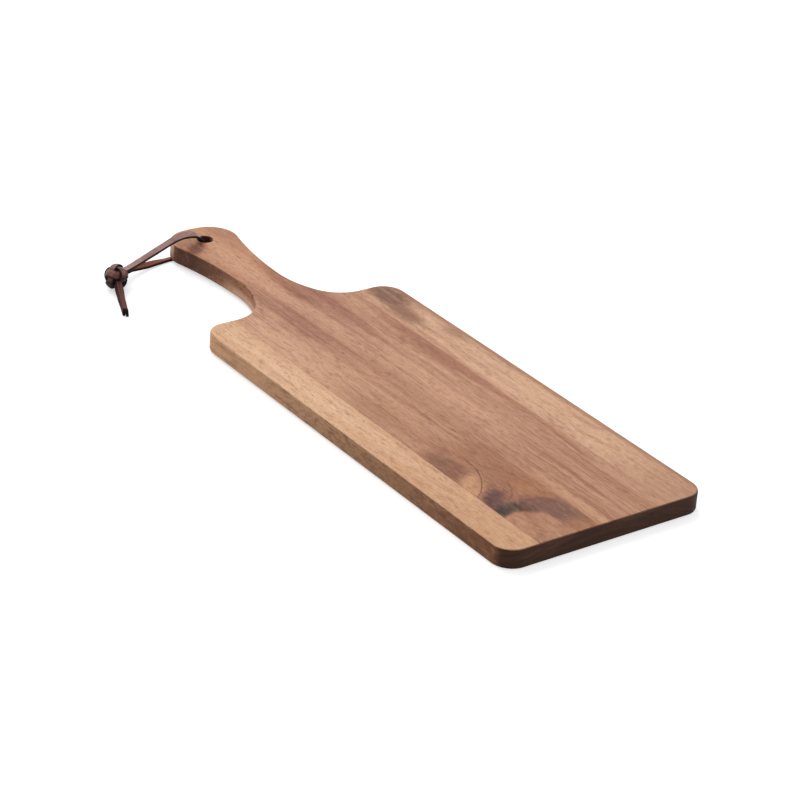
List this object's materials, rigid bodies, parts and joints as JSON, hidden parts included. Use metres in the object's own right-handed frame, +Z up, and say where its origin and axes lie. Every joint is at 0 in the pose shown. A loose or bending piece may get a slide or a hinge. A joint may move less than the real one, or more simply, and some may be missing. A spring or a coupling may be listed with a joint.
{
  "type": "serving board",
  "caption": "Long wooden serving board of edge-glued staves with a waisted handle, a hanging hole and a knotted leather lace.",
  "frame": {"origin": "middle of the board's outline on the surface that it lies on; the lace doesn't count", "axes": "+X along the board from the handle to the plain end, +Y across the staves to the back edge, +Z up"},
  "size_m": [0.4635, 0.1719, 0.0239],
  "materials": {
    "front_wood": "oiled acacia, pale straw brown with straight grain",
    "figured_wood": "oiled acacia, red brown with a dark branched figure",
    "hole_wood": "oiled acacia, mid brown with fine dark lines",
    "back_wood": "oiled acacia, mid brown with a dark patch at the shoulder",
    "lace_leather": "flat-cut dark brown leather with a smooth grain side",
    "knot_leather": "dark brown leather, pressed smooth in the knot"
  },
  "bodies": {
    "board": {"front_stave": "front_wood", "figured_stave": "figured_wood", "hole_stave": "hole_wood", "back_stave": "back_wood"},
    "lace": {"lace_upper_leg": "lace_leather", "lace_lower_leg": "lace_leather", "lace_knot": "knot_leather", "lace_upper_tail": "lace_leather", "lace_lower_tail": "lace_leather"}
  },
  "joints": [
    {"name": "lace_swing", "type": "hinge", "parent": "board", "child": "lace", "pos_m": [-0.21145, 0, 0], "axis": [0, 0, 1], "range_deg": [-200, 20]}
  ]
}
